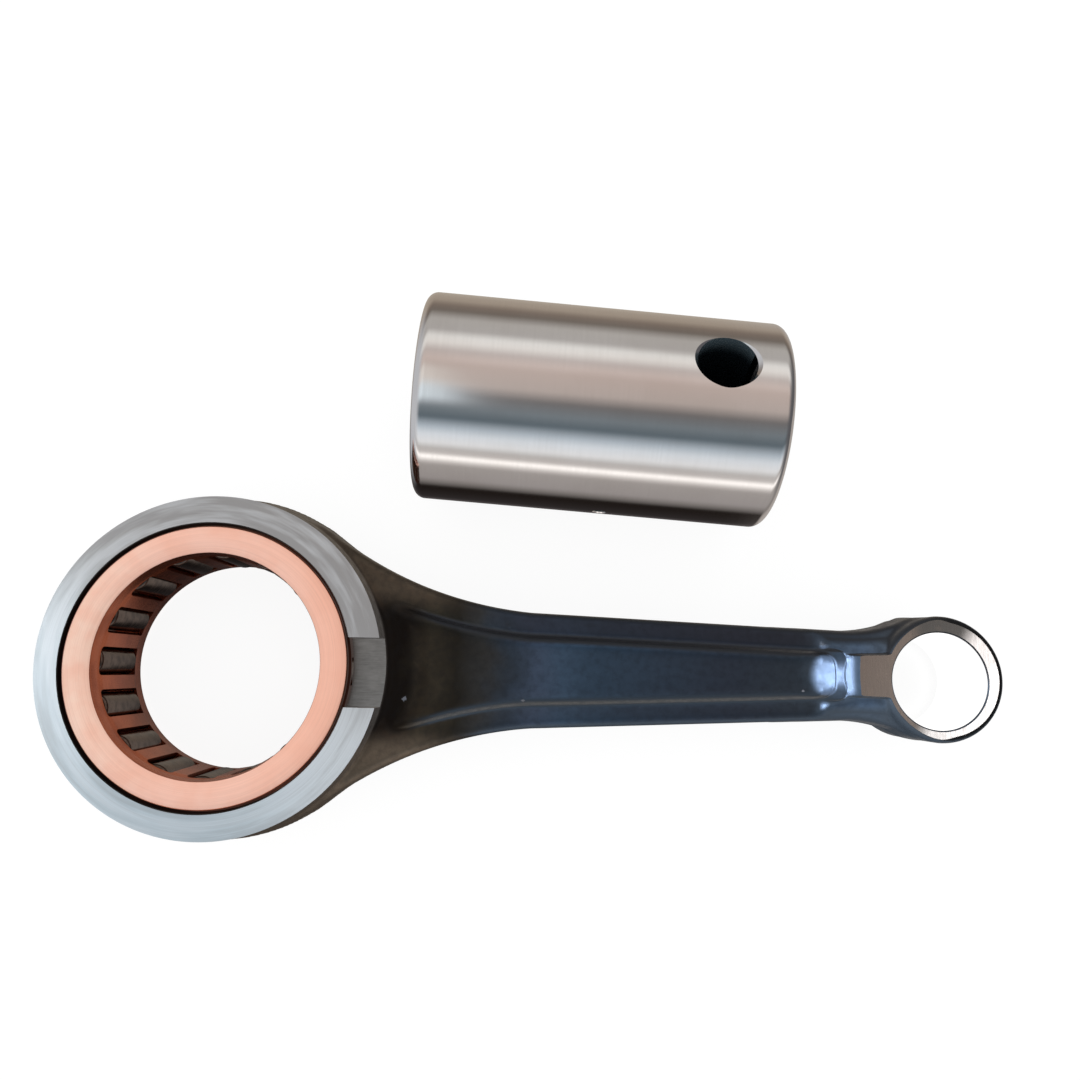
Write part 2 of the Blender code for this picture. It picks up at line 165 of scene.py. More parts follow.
# ---- Mesh helpers ----------------------------------------------------------------------
def new_piece(name, points, faces, place=None):
    """An object from points in millimetres, at place, with its normals turned outward."""
    mesh = bpy.data.meshes.new(name)
    mesh.from_pydata([Vector(p) * MM for p in points], [], faces)
    bm = bmesh.new()
    bm.from_mesh(mesh)
    bmesh.ops.recalc_face_normals(bm, faces=bm.faces)
    bm.to_mesh(mesh)
    bm.free()
    piece = bpy.data.objects.new(name, mesh)
    bpy.context.scene.collection.objects.link(piece)
    piece.matrix_world = place or Matrix.Identity(4)
    return piece


def lathe(name, profile, segments, place=None):
    """Turns a profile of (radius, height) points about Z. A radius of 0 closes on the axis."""
    points, rings = [], []
    for radius, height in profile:
        if radius == 0.0:
            rings.append([len(points)] * segments)
            points.append((0.0, 0.0, height))
            continue
        rings.append(list(range(len(points), len(points) + segments)))
        for i in range(segments):
            turn = 2.0 * math.pi * i / segments
            points.append((radius * math.cos(turn), radius * math.sin(turn), height))
    if profile[0][0] > 0.0:
        rings.append(rings[0])
    faces = []
    for near, far in zip(rings, rings[1:]):
        for i in range(segments):
            j = (i + 1) % segments
            corners = dict.fromkeys((near[i], near[j], far[j], far[i]))
            faces.append(tuple(corners))
    return new_piece(name, points, faces, place)


def arc(centre, radius, start, end, steps):
    """Points of an arc in the (radius, height) plane, angles in degrees from the +radius side."""
    turns = (math.radians(start + (end - start) * i / steps) for i in range(steps + 1))
    return [(centre[0] + radius * math.cos(a), centre[1] + radius * math.sin(a)) for a in turns]


def block(name, low, high):
    """A box between two corners."""
    corners = [(x, y, z) for x in (low[0], high[0]) for y in (low[1], high[1])
               for z in (low[2], high[2])]
    faces = [(0, 1, 3, 2), (4, 6, 7, 5), (0, 4, 5, 1), (2, 3, 7, 6), (0, 2, 6, 4), (1, 5, 7, 3)]
    return new_piece(name, corners, faces)


def joined(name, pieces):
    """One mesh of several closed shapes, which don't touch one another."""
    bm = bmesh.new()
    for piece in pieces:
        piece.data.transform(piece.matrix_world)
        bm.from_mesh(piece.data)
        bpy.data.objects.remove(piece)
    mesh = bpy.data.meshes.new(name)
    bm.to_mesh(mesh)
    bm.free()
    whole = bpy.data.objects.new(name, mesh)
    bpy.context.scene.collection.objects.link(whole)
    return whole


def cut(piece, *cutters):
    """Takes each cutter away from the piece and bakes the result into its mesh."""
    for cutter in cutters:
        modifier = piece.modifiers.new(cutter.name, "BOOLEAN")
        modifier.operation = "DIFFERENCE"
        modifier.solver = "EXACT"
        modifier.object = cutter
    bpy.context.view_layer.update()
    graph = bpy.context.evaluated_depsgraph_get()
    mesh = bpy.data.meshes.new_from_object(piece.evaluated_get(graph))
    piece.modifiers.clear()
    piece.data = mesh
    for cutter in cutters:
        bpy.data.objects.remove(cutter)


def smooth(piece, degrees):
    """Smooth shading, but with crisp edges at steep angles and where two materials meet."""
    piece.data.shade_smooth()
    piece.data.set_sharp_from_angle(angle=math.radians(degrees))
    bm = bmesh.new()
    bm.from_mesh(piece.data)
    for edge in bm.edges:
        if len({face.material_index for face in edge.link_faces}) > 1:
            edge.smooth = False
    bm.to_mesh(piece.data)
    bm.free()


def face_arrays(piece):
    """Centre (millimetres, piece axes) and normal of every face."""
    count = len(piece.data.polygons)
    centres, normals = np.empty(count * 3), np.empty(count * 3)
    piece.data.polygons.foreach_get("center", centres)
    piece.data.polygons.foreach_get("normal", normals)
    return centres.reshape(-1, 3) / MM, normals.reshape(-1, 3)


def paint(piece, materials, slots):
    """Gives each face the material that its entry in slots names."""
    piece.data.materials.clear()
    for material in materials:
        piece.data.materials.append(material)
    piece.data.polygons.foreach_set("material_index", np.asarray(slots, np.int32))


# ---- The forging as a smooth field -----------------------------------------------------
def smooth_max(a, b, blend):
    meet = np.maximum(blend - np.abs(a - b), 0.0) / blend
    return np.maximum(a, b) + meet * meet * blend * 0.25


def smooth_min(a, b, blend):
    return -smooth_max(-a, -b, blend)


def smoothstep(value, start, end):
    t = np.clip((value - start) / (end - start), 0.0, 1.0)
    return t * t * (3.0 - 2.0 * t)


def shank_side(x):
    return SHANK_HALF_WIDTH - SHANK_TAPER * (x - FLARE_END_X)


FILLET_STEPS = 4                   # enough for the fillet to settle against the tapered side


def flare(x, boss_x, boss_r, fillet_r):
    """Half-width of a fillet between the shank's side and a round boss, then of the boss."""
    height = shank_side(FLARE_END_X) + fillet_r
    for _ in range(FILLET_STEPS):
        run = math.sqrt((boss_r + fillet_r) ** 2 - height ** 2)
        centre_x = boss_x + math.copysign(run, FLARE_END_X - boss_x)
        height = shank_side(centre_x) + fillet_r
    toward = math.copysign(1.0, boss_x - centre_x)
    touch_x = boss_x + (centre_x - boss_x) * boss_r / (boss_r + fillet_r)
    side = np.clip((x - centre_x) * toward, 0.0, fillet_r * 0.98)
    fillet = height - np.sqrt(fillet_r ** 2 - side ** 2)
    past = (x - touch_x) * toward
    boss = np.sqrt(np.maximum(boss_r ** 2 - (x - boss_x) ** 2, 0.0))
    boss = boss - BOSS_TUCK * smoothstep(past, 0.0, BOSS_TUCK_RUN)
    wide = np.where(past > 0.0, boss, fillet)
    return np.where((x - centre_x) * toward > 0.0, wide, 0.0)


def rod_half_width(x):
    wide = np.maximum(shank_side(x), flare(x, BOSS_X, WALL_R[0] - FLARE_INSET, FLARE_R))
    return np.maximum(wide, flare(x, SMALL_EYE_X, SMALL_OUTER_R, NECK_R))


def shank_field(x, v, z):
    """The shank as a solid bar, before its pocket is sunk."""
    draft = SHANK_DRAFT * (1.0 - z / FLANGE_Z)
    ends = np.maximum(SHANK_START_X - x, x - SMALL_X)
    bar = smooth_max(np.abs(v) - rod_half_width(x) - draft, z - FLANGE_Z, FLANGE_ROUND)
    return np.maximum(bar, ends)


def pocket_field(x, v, z):
    """The pocket between the flanges: steep sides, a flat web, and a ramp at its far end."""
    spread = FLANGE_SPREAD * np.exp((WALL_R[0] - x) / FLANGE_SPREAD_LENGTH)
    half_width = np.minimum(rod_half_width(x) - FLANGE_WIDTH - spread, POCKET_CORNER_Y)
    depth = FLANGE_Z - z
    near_end = WALL_R[1] + POCKET_FROM_WALL + depth
    from_boss = (near_end - np.hypot(x - BOSS_X, v)) / math.sqrt(2.0)
    sides = np.abs(v) - half_width + POCKET_DRAFT * depth
    sides = smooth_max(sides, from_boss, POCKET_CORNER_ROUND)
    ramp_end = POCKET_END_X + POCKET_RAMP * (z - POCKET_END_Z)
    for crease in POCKET_CREASES:
        ramp_end = ramp_end - CREASE_RUN * smoothstep(z, crease, crease + CREASE_RISE)
    bow = np.interp(z, POCKET_BOW_Z, POCKET_BOW)
    ramp = (x - ramp_end - bow * v * v) / math.hypot(1.0, POCKET_RAMP)
    outline = smooth_max(sides, ramp, RAMP_ROUND)
    return smooth_max(outline, WEB_Z - z, ROOT_ROUND)


def neck_field(x, v, z):
    """The rounded neck, a step above the flanges, with the small end's flat tongue on top."""
    away = np.abs(v)
    crown = NECK_CROWN_Z - NECK_CROWN_BEND * np.maximum(away - TONGUE_HALF_WIDTH, 0.0) ** 2
    edge = TONGUE_HALF_WIDTH + TONGUE_SPREAD * (x - TONGUE_START_X) - away
    rise = SMALL_Z + TONGUE_MACHINING - NECK_CROWN_Z
    tongue = rise * smoothstep(edge, -0.3, 0.25)
    body = smooth_max(away - rod_half_width(x), z - crown - tongue, NECK_ROUND)
    step = (z - FLANGE_Z + STEP_SINK - (x - STEP_X)) / math.sqrt(2.0)
    return np.maximum(smooth_max(body, step, STEP_ROUND), x - SMALL_X)


def eye_field(x, y, z):
    """The small end's round eye, slimmer and less chamfered on its side towards the neck."""
    near_side = SMALL_EYE_X - x
    eye = np.hypot(x - SMALL_EYE_X, y - SMALL_EYE_Y) - SMALL_OUTER_R
    eye = eye + EYE_TUCK * smoothstep(near_side, 0.0, 6.0) * smoothstep(z, 2.0, SMALL_Z)
    chamfer = EYE_CHAMFER[0] - EYE_CHAMFER[1] * smoothstep(near_side, -2.0, 4.0)
    eye = np.maximum(eye, (eye + z - SMALL_Z + chamfer) / math.sqrt(2.0))
    return smooth_max(eye, z - SMALL_Z - EYE_MACHINING, EYE_ROUND)


def rod_field(points):
    """Negative inside the forging, before any machining. The two halves mirror in z."""
    x, y, z = points[..., 0], points[..., 1], np.abs(points[..., 2])
    v = y - FORGING_SHIFT - FORGING_SKEW * x
    body = smooth_min(shank_field(x, v, z), neck_field(x, v, z), NECK_MEETS_SHANK)
    body = smooth_max(body, -pocket_field(x, v, z), POCKET_EDGE_ROUND)
    wall = np.hypot(x - BOSS_X, y - FORGING_SHIFT) - np.interp(z, WALL_Z, WALL_R)
    boss = np.maximum(wall, z - THRUST_Z - MACHINING)
    body = smooth_min(body, boss, SHANK_MEETS_BOSS)
    body = smooth_min(body, eye_field(x, y, z), NECK_MEETS_EYE)
    return body - PARTING_RIDGE * np.exp(-(z / PARTING_WIDTH) ** 2)


def field_mesh(field, low, high, step):
    """Points and quads on the zero surface of a field: one point in each cell it crosses."""
    axes = [np.arange(a, b + step, step) for a, b in zip(low, high)]
    inside = field(np.stack(np.meshgrid(*axes, indexing="ij"), -1)) < 0.0
    corners = sum(inside[i:i + inside.shape[0] - 1, j:j + inside.shape[1] - 1,
                         k:k + inside.shape[2] - 1].astype(np.int8)
                  for i in (0, 1) for j in (0, 1) for k in (0, 1))
    crossed = (corners > 0) & (corners < 8)
    number = np.full(crossed.shape, -1)
    number[crossed] = np.arange(crossed.sum())
    points = np.array(low) + (np.argwhere(crossed) + 0.5) * step
    for _ in range(SURFACE_STEPS):
        points = onto_surface(field, points, step)

    quads = []
    for axis in range(3):
        solid = np.moveaxis(inside, axis, 0)
        cells = np.moveaxis(number, axis, 0)
        i, j, k = np.nonzero(solid[:-1] != solid[1:])
        quads.append(np.stack([cells[i, j - 1, k - 1], cells[i, j, k - 1],
                               cells[i, j, k], cells[i, j - 1, k]], 1))
    return points, np.concatenate(quads)


def onto_surface(field, points, step):
    """One Newton step towards the field's zero surface."""
    small = 0.02
    value = field(points)
    slope = np.stack([(field(points + small * unit) - value) / small for unit in np.eye(3)], 1)
    move = -slope * (value / np.maximum((slope ** 2).sum(1), 0.05))[:, None]
    return points + np.clip(move, -0.5 * step, 0.5 * step)


def refine(piece, field, low_x, high_x, step):
    """Halves the mesh between two stations along the rod, on the field's own surface."""
    bm = bmesh.new()
    bm.from_mesh(piece.data)
    edges = [e for e in bm.edges if all(low_x < v.co.x / MM < high_x for v in e.verts)]
    made = bmesh.ops.subdivide_edges(bm, edges=edges, cuts=1, use_grid_fill=True)
    fresh = [v for v in made["geom_inner"] if isinstance(v, bmesh.types.BMVert)]
    points = np.array([v.co for v in fresh]) / MM
    for _ in range(SURFACE_STEPS - 1):
        points = onto_surface(field, points, step)
    for vert, point in zip(fresh, points):
        vert.co = Vector(point) * MM
    bm.to_mesh(piece.data)
    bm.free()


# ---- The rod ---------------------------------------------------------------------------
NEAR = 0.03                        # a face this close to a machined surface belongs to it


def bore_tool(name, x, radius, chamfer, face_z, clear_r, segments):
    """Cuts a chamfered bore and faces both sides flat out to clear_r."""
    past = face_z + 2.0
    upper = [(0.0, past), (clear_r, past), (clear_r, face_z), (radius + chamfer, face_z),
             (radius, face_z - chamfer)]
    profile = upper + [(r, -z) for r, z in upper[::-1]]
    return lathe(name, profile, segments, Matrix.Translation((x * MM, 0.0, 0.0)))


def slot_tool(name, side):
    """Cuts the cross slot in the big end's upper (side 1) or lower (side -1) face."""
    heights = sorted((side * SLOT_FLOOR_Z, side * (THRUST_Z + 2.5)))
    return block(name, (SLOT_X[0], SLOT_Y - SLOT_HALF_WIDTH, heights[0]),
                 (SLOT_X[1], SLOT_Y + SLOT_HALF_WIDTH, heights[1]))


def rod_surfaces(rod):
    """For each face of the rod, which of build_rod's materials it has."""
    centre, normal = face_arrays(rod)
    x, y, z = centre[:, 0], centre[:, 1], np.abs(centre[:, 2])
    level = np.abs(normal[:, 2]) > 0.98
    in_slot = (np.abs(y - SLOT_Y) < SLOT_HALF_WIDTH + NEAR) & (x > SLOT_X[0]) & (x < SLOT_X[1])
    surfaces = np.zeros(len(centre), int)
    surfaces[level & (z > THRUST_Z - NEAR)] = 1
    surfaces[np.hypot(x, y) < BORE_R + BORE_CHAMFER + NEAR] = 2
    surfaces[in_slot & level & (np.abs(z - SLOT_FLOOR_Z) < NEAR)] = 3
    surfaces[in_slot & (np.abs(normal[:, 1]) > 0.98) & (z > SLOT_FLOOR_Z)] = 3
    surfaces[level & (x > TONGUE_START_X) & (np.abs(z - SMALL_Z) < NEAR)] = 4
    surfaces[np.hypot(x - SMALL_X, y) < SMALL_BORE_R + NEAR] = 5
    return surfaces


def build_rod(looks):
    margin = Vector((1.0, 1.0, 1.0))
    points, quads = field_mesh(rod_field, ROD_LOW - margin, ROD_HIGH + margin, GRID)
    rod = new_piece("rod_forging", points.tolist(), quads.tolist())
    refine(rod, rod_field, *FINE_X, GRID / 2)
    cut(rod,
        bore_tool("big_end", 0.0, BORE_R, BORE_CHAMFER, THRUST_Z, WALL_R[0] + 2.0, 360),
        bore_tool("small_end", SMALL_X, SMALL_BORE_R, SMALL_BORE_CHAMFER, SMALL_Z, 14.0, 192),
        joined("slots", [slot_tool("slot_upper", 1), slot_tool("slot_lower", -1)]))
    rod.matrix_world = Matrix.Translation(BIG_END)
    names = ("forged", "thrust_face", "bore", "slot", "small_face", "small_bore")
    paint(rod, [looks[name] for name in names], rod_surfaces(rod))
    smooth(rod, 38.0)
    return finish_piece(rod, "rod", "forged_steel", "connecting_rod")


def finish_piece(piece, body, slot, *nodes):
    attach(piece, body)
    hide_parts(*nodes)
    return piece


# ---- The bearing -----------------------------------------------------------------------
CAGE_SPAN = span_mm("roller_cage")
CAGE_OUTER_R = CAGE_SPAN.x / 2
CAGE_Z = CAGE_SPAN.z / 2
LAND_R = 19.93                     # bands on the cage that ride in the big end's bore
RAIL_INNER_R = 15.75
BAR_INNER_R = 15.45
WINDOW_HALF_LENGTH = 6.35
WINDOW_HALF_WIDTH = 2.02
WINDOW_CORNER = 0.5
NEEDLE_PLAY = 0.22
NEEDLE_SPAN = span_mm("roller_01")
NEEDLE_R = NEEDLE_SPAN.x / 2
NEEDLE_HALF_LENGTH = NEEDLE_SPAN.z / 2


def needles():
    """(roller node, body, centre from the big-end centre in millimetres)."""
    for joint in frame["joints"]:
        if joint["parent"] == "cage":
            node = frame["record"]["behaviour"]["bodies"][joint["child"]][0]
            yield node, joint["child"], (Vector(joint["pos_m"]) - BIG_END) / MM


def cage_profile():
    """Half of the cage's section outside and inside, each mirrored in the middle plane."""
    edge = 0.35
    land = [(CAGE_OUTER_R, 7.9), (LAND_R, 7.6), (LAND_R, 6.9), (CAGE_OUTER_R, 6.6)]
    outer = (arc((CAGE_OUTER_R - edge, CAGE_Z - edge), edge, 90.0, 0.0, 6)
             + land + [(r, -z) for r, z in land[::-1]]
             + arc((CAGE_OUTER_R - edge, edge - CAGE_Z), edge, 0.0, -90.0, 6))
    inner = [(RAIL_INNER_R + 0.3, -CAGE_Z), (RAIL_INNER_R + 0.08, 0.1 - CAGE_Z),
             (RAIL_INNER_R, 0.35 - CAGE_Z), (RAIL_INNER_R, -6.9),
             (RAIL_INNER_R - 0.05, -6.6), (BAR_INNER_R + 0.05, -5.9), (BAR_INNER_R, -5.6)]
    return outer + inner + [(r, -z) for r, z in inner[::-1]]


def window_tool(index, centre):
    """A window with rounded corners, and the round seat of the needle behind it."""
    angle = math.atan2(centre.y, centre.x)
    place = Matrix.Rotation(angle, 4, "Z")
    outline = []
    for sx, sz, start in ((1, 1, 0), (-1, 1, 90), (-1, -1, 180), (1, -1, 270)):
        turn_centre = (sx * (WINDOW_HALF_WIDTH - WINDOW_CORNER),
                       sz * (WINDOW_HALF_LENGTH - WINDOW_CORNER))
        outline += arc(turn_centre, WINDOW_CORNER, start, start + 90, 5)
    count = len(outline)
    points = [(r, y, z) for r in (BAR_INNER_R - 1.0, CAGE_OUTER_R + 1.0) for y, z in outline]
    faces = [tuple(range(count)), tuple(range(count, 2 * count))]
    faces += [(i, (i + 1) % count, count + (i + 1) % count, count + i) for i in range(count)]
    window = new_piece(f"window_{index:02d}", points, faces, place)
    seat_r = NEEDLE_R + NEEDLE_PLAY
    seat = lathe(f"seat_{index:02d}",
                 [(0.0, WINDOW_HALF_LENGTH), (seat_r, WINDOW_HALF_LENGTH),
                  (seat_r, -WINDOW_HALF_LENGTH), (0.0, -WINDOW_HALF_LENGTH)],
                 40, place @ Matrix.Translation((centre.to_2d().length * MM, 0.0, 0.0)))
    return window, seat


def build_cage(looks):
    cage = lathe("needle_cage", cage_profile(), 320)
    tools = [window_tool(i, centre) for i, (_, _, centre) in enumerate(needles())]
    cut(cage, joined("windows", [pair[0] for pair in tools]),
        joined("seats", [pair[1] for pair in tools]))
    cage.matrix_world = Matrix.Translation(BIG_END)
    centre, normal = face_arrays(cage)
    slots = np.zeros(len(centre), int)
    slots[(np.abs(normal[:, 2]) > 0.9) & (np.abs(centre[:, 2]) > CAGE_Z - 0.1)] = 1
    slots[np.hypot(centre[:, 0], centre[:, 1]) > CAGE_OUTER_R - 0.12] = 2
    # The inside and outside get darker copies of the copper: painted shade.
    paint(cage, [looks["copper_inside"], looks["copper_face"], looks["copper_outside"]], slots)
    smooth(cage, 32.0)
    finish_piece(cage, "cage", "copper_plate", "roller_cage")


def build_needles(looks):
    edge = 0.45
    top = arc((NEEDLE_R - edge, NEEDLE_HALF_LENGTH - edge), edge, 90.0, 0.0, 6)
    profile = ([(0.0, NEEDLE_HALF_LENGTH)] + top + [(r, -z) for r, z in top[::-1]]
               + [(0.0, -NEEDLE_HALF_LENGTH)])
    for node, body, centre in needles():
        place = Matrix.Translation(BIG_END + centre * MM)
        needle = lathe("needle_" + node[-2:], profile, 64, place)
        paint(needle, [looks["needle"]], np.zeros(len(needle.data.polygons)))
        smooth(needle, 40.0)
        finish_piece(needle, body, "needle_steel", node)


# ---- The crank pin ---------------------------------------------------------------------
PIN_R = span_mm("crank_pin").z / 2
PIN_HALF_LENGTH = 26.1
PIN_EDGE = 1.6
PASSAGE_R = 3.5
PASSAGE_DEPTH = 29.0
PASSAGE_TIP = 1.8                  # the drill's cone past the passage's full depth
PASSAGE_CHAMFER = 0.4
INLET_R = 4.2
INLET_FROM_END = 9.6
INLET_TILT = math.radians(18.0)
OUTLET_R = 0.9
OUTLET_X = 1.7
OUTLET_TILT = math.radians(-90.0)


def pin_axis():
    """The pin's axis lies where a half turn about the swing's axis would stand it upright."""
    swing = Vector(JOINTS["crank_pin_swing"]["axis"]).normalized()
    return 2.0 * swing.dot(UP) * swing - UP


def pin_place():
    """The pin's own axes: Z along its length towards the oil hole, Y upright."""
    low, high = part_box("crank_pin")
    along = pin_axis()
    across = UP.cross(along).normalized()
    turn = Matrix((across, UP, along)).transposed().to_4x4()
    return Matrix.Translation((low + high) / 2) @ turn


def radial_tool(name, radius, at, tilt, chamfer, segments):
    """A hole from the pin's middle out through its side, countersunk at the surface."""
    past = 1.2
    profile = [(0.0, PIN_R + past), (radius + chamfer + past, PIN_R + past),
               (radius, PIN_R - chamfer), (radius, 0.0), (0.0, 0.0)]
    turn = Matrix.Rotation(-tilt, 4, "Z") @ Matrix.Rotation(math.radians(-90.0), 4, "X")
    return lathe(name, profile, segments, Matrix.Translation((0.0, 0.0, at * MM)) @ turn)


def build_crank_pin(looks):
    corner = arc((PIN_R - PIN_EDGE, PIN_HALF_LENGTH - PIN_EDGE), PIN_EDGE, 90.0, 0.0, 12)
    half = [(0.0, PIN_HALF_LENGTH)] + corner
    pin = lathe("ground_crank_pin", half + [(r, -z) for r, z in half[::-1]], 384)
    past = 1.0
    floor = PIN_HALF_LENGTH - PASSAGE_DEPTH
    passage = lathe("passage", [(0.0, PIN_HALF_LENGTH + past),
                                (PASSAGE_R + PASSAGE_CHAMFER + past, PIN_HALF_LENGTH + past),
                                (PASSAGE_R, PIN_HALF_LENGTH - PASSAGE_CHAMFER),
                                (PASSAGE_R, floor), (0.0, floor - PASSAGE_TIP)], 96)
    inlet = radial_tool("inlet", INLET_R, PIN_HALF_LENGTH - INLET_FROM_END, INLET_TILT, 0.5, 128)
    outlet = radial_tool("outlet", OUTLET_R, OUTLET_X, OUTLET_TILT, 0.2, 48)
    cut(pin, passage, inlet, outlet)
    pin.matrix_world = pin_place()

    centre, normal = face_arrays(pin)
    radius = np.hypot(centre[:, 0], centre[:, 1])
    slots = np.zeros(len(centre), int)
    slots[np.abs(normal[:, 2]) > 0.995] = 1
    outward = (normal[:, :2] * centre[:, :2]).sum(1) / np.maximum(radius, 0.01)
    in_hole = (np.abs(normal[:, 2]) < 0.9) & (outward < 0.9) & (radius < PIN_R - 0.55)
    slots[in_hole & (np.abs(centre[:, 2]) < PIN_HALF_LENGTH - PIN_EDGE)] = 2
    slots[radius < PASSAGE_R + 0.02] = 2
    paint(pin, [looks["ground"], looks["pin_end"], looks["oil_hole"]], slots)
    smooth(pin, 30.0)
    finish_piece(pin, "pin", "ground_steel", "crank_pin")


def build_plug(looks):
    low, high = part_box("oil_passage_plug")
    radius, half = PASSAGE_R - 0.3, 2.0
    edge = 0.3
    dish = [(0.0, half - 0.35), (1.1, half - 0.35), (1.35, half - 0.1), (1.6, half)]
    corner = arc((radius - edge, half - edge), edge, 90.0, 0.0, 5)
    foot = [(r, -z) for r, z in corner[::-1]] + [(0.0, -half)]
    place = pin_place()
    place.translation = (low + high) / 2
    plug = lathe("passage_plug", dish + corner + foot, 96, place)
    paint(plug, [looks["plug"]], np.zeros(len(plug.data.polygons)))
    smooth(plug, 35.0)
    finish_piece(plug, "pin", "plug_steel", "oil_passage_plug")


# ---- Node helper -----------------------------------------------------------------------
class Tree:
    """Builds a node tree: every method adds nodes and returns the socket to use next."""

    def __init__(self, owner):
        owner.use_nodes = True
        self.nodes, self.links = owner.node_tree.nodes, owner.node_tree.links
        self.nodes.clear()

    def add(self, kind, inputs=None, **settings):
        node = self.nodes.new(kind)
        for key, value in settings.items():
            setattr(node, key, value)
        for key, value in (inputs or {}).items():
            if isinstance(value, bpy.types.NodeSocket):
                self.links.new(value, node.inputs[key])
            elif value is not None:
                node.inputs[key].default_value = value
        return node

    def math(self, operation, a, b=None, c=None):
        inputs = {0: a, 1: b, 2: c}
        return self.add("ShaderNodeMath", inputs, operation=operation).outputs[0]

    def vector(self, operation, a, b=None, scale=None):
        inputs = {0: a, 1: b, "Scale": scale}
        node = self.add("ShaderNodeVectorMath", inputs, operation=operation)
        return node.outputs["Value" if operation in ("LENGTH", "DOT_PRODUCT") else "Vector"]

    def mm(self):
        """The point in the piece's own axes, in millimetres."""
        here = self.add("ShaderNodeTexCoord").outputs["Object"]
        return self.vector("SCALE", here, scale=1.0 / MM)

    def parts(self, vector):
        return self.add("ShaderNodeSeparateXYZ", {0: vector}).outputs

    def combine(self, x, y, z):
        return self.add("ShaderNodeCombineXYZ", {0: x, 1: y, 2: z}).outputs[0]

    def noise(self, vector, scale, detail=4.0, roughness=0.55):
        inputs = {"Vector": vector, "Scale": scale, "Detail": detail, "Roughness": roughness}
        return self.add("ShaderNodeTexNoise", inputs).outputs[0]

    def span(self, value, low, high, start=0.0, end=1.0):
        """A soft step from start to end as the value goes from low to high."""
        inputs = {0: value, 1: low, 2: high, 3: start, 4: end}
        return self.add("ShaderNodeMapRange", inputs, interpolation_type="SMOOTHSTEP").outputs[0]

    def mix(self, share, a, b, blend="MIX"):
        node = self.add("ShaderNodeMix", {"Factor": share}, data_type="RGBA", blend_type=blend)
        for socket, value in ((node.inputs[6], a), (node.inputs[7], b)):
            if isinstance(value, bpy.types.NodeSocket):
                self.links.new(value, socket)
            else:
                socket.default_value = (*value, 1.0)
        return node.outputs[2]

    def ramp(self, value, stops):
        node = self.add("ShaderNodeValToRGB", {0: value})
        elements = node.color_ramp.elements
        while len(elements) < len(stops):
            elements.new(1.0)
        for element, (at, colour) in zip(elements, stops):
            element.position, element.color = at, (*colour, 1.0)
        return node.outputs[0]

    def bump(self, height, strength, distance_mm, normal=None):
        inputs = {"Height": height, "Strength": strength, "Distance": distance_mm * MM}
        node = self.add("ShaderNodeBump", inputs)
        if normal is not None:
            self.links.new(normal, node.inputs["Normal"])
        return node.outputs[0]

    def line(self, value, low, high):
        """The value's place between low and high, as a straight line from 0 to 1."""
        return self.add("ShaderNodeMapRange", {0: value, 1: low, 2: high}).outputs[0]

    def around(self, vector, centre=(0.0, 0.0)):
        """Polar coordinates about the piece's Z axis: (radius, angle, cosine, sine)."""
        x, y, _ = self.parts(vector)
        x, y = self.math("SUBTRACT", x, centre[0]), self.math("SUBTRACT", y, centre[1])
        radius = self.vector("LENGTH", self.combine(x, y, 0.0))
        cosine, sine = self.math("DIVIDE", x, radius), self.math("DIVIDE", y, radius)
        return radius, self.math("ARCTAN2", y, x), cosine, sine

    def grooves(self, vector, pitch, sweep=1.0):
        """A noise space stretched round the Z axis and fine across: turned and ground marks."""
        radius, _, cosine, sine = self.around(vector)
        across = self.math("ADD", radius, self.parts(vector)[2])
        return self.combine(self.math("MULTIPLY", cosine, sweep),
                            self.math("MULTIPLY", sine, sweep),
                            self.math("MULTIPLY", across, pitch))

    def direction(self, vector):
        """A direction in the piece's axes, as the shader needs it for its tangent."""
        turned = self.add("ShaderNodeVectorTransform", {0: vector}, vector_type="VECTOR",
                          convert_from="OBJECT", convert_to="WORLD").outputs[0]
        return self.vector("NORMALIZE", turned)

    def outward(self, vector):
        """Across the grooves of a turned face: straight out from its axis."""
        return self.direction(self.vector("MULTIPLY", vector, (1.0, 1.0, 0.0)))

    def lengthwise(self):
        """Across the grooves of a turned or ground cylinder: along its axis."""
        return self.direction((0.0, 0.0, 1.0))

    def worn_edge(self, low, high):
        point = self.add("ShaderNodeNewGeometry").outputs["Pointiness"]
        return self.span(point, low, high)

    def metal(self, colour, roughness, normal=None, anisotropy=0.0, tangent=None, metallic=1.0,
              glow=0.0, specular=0.5):
        """Ends the tree with a metal surface. Glow is the strength of a white light of its own."""
        shader = self.add("ShaderNodeBsdfPrincipled", {
            "Roughness": roughness, "Metallic": metallic, "Anisotropic": anisotropy,
            "Specular IOR Level": specular,
            "Emission Color": (1.0, 1.0, 1.0, 1.0), "Emission Strength": glow})
        if isinstance(colour, bpy.types.NodeSocket):
            self.links.new(colour, shader.inputs["Base Color"])
        else:
            shader.inputs["Base Color"].default_value = (*colour, 1.0)
        for socket, name in ((normal, "Normal"), (tangent, "Tangent")):
            if socket is not None:
                self.links.new(socket, shader.inputs[name])
        out = self.add("ShaderNodeOutputMaterial")
        self.links.new(shader.outputs[0], out.inputs[0])


def material(name, build):
    made = bpy.data.materials.new(name)
    build(Tree(made))
    return made
